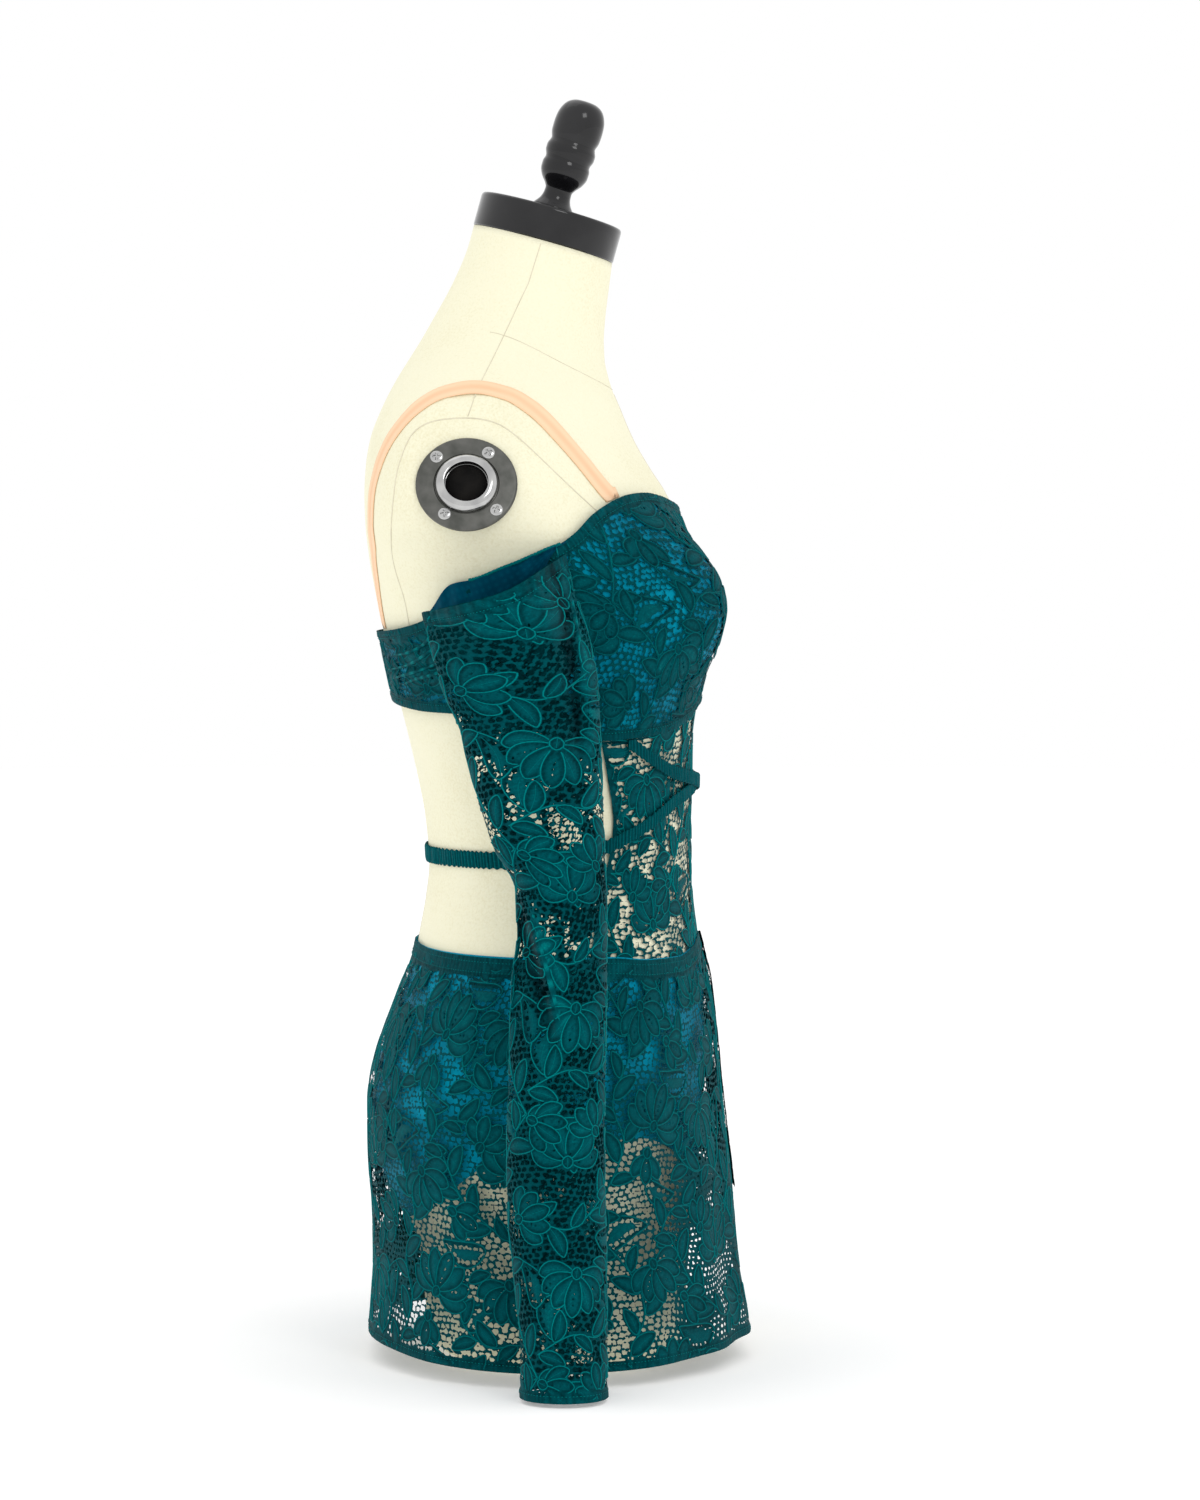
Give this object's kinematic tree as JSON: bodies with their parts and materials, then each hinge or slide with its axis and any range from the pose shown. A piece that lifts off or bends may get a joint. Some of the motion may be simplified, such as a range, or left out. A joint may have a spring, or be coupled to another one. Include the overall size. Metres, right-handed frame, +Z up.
{
  "type": "lyrical dance costume on a limbless dress form",
  "caption": "Teal lace lyrical dance costume with off-shoulder sleeves, sheer midriff, crossed straps and short skirt, on a cream limbless dress form.",
  "frame": {"origin": "centre of the dress form's flat underside, which is what the part stands on", "axes": "+Z up, +X towards the costume's front, +Y towards the wearer's left"},
  "size_m": [0.2783, 0.5064, 0.9109],
  "materials": {
    "form_linen": "matt",
    "gloss_black": "gloss",
    "satin_steel": "polished",
    "teal_lace": "satin",
    "blue_lining": "satin",
    "skin_elastic": "satin"
  },
  "bodies": {
    "root": {"form_torso": "form_linen", "neck_cap": "gloss_black", "cap_finial": "gloss_black", "arm_plate_right": "satin_steel", "arm_plate_left": "satin_steel", "bodice_front_lining": "blue_lining", "bodice_front_lace": "teal_lace", "bodice_back_lining": "blue_lining", "bodice_back_lace": "teal_lace", "midriff_lace": "teal_lace", "cross_strap_right": "teal_lace", "cross_strap_left": "teal_lace", "waist_strap_back": "teal_lace", "hip_lining": "blue_lining", "skirt_back_lace": "teal_lace", "skirt_right_lace": "teal_lace", "skirt_left_lace": "teal_lace", "underarm_facing_right": "blue_lining", "shoulder_strap_right": "skin_elastic", "sleeve_right_outer": "teal_lace", "sleeve_right_inner": "teal_lace", "underarm_facing_left": "blue_lining", "shoulder_strap_left": "skin_elastic", "sleeve_left_outer": "teal_lace", "sleeve_left_inner": "teal_lace"}
  },
  "joints": []
}
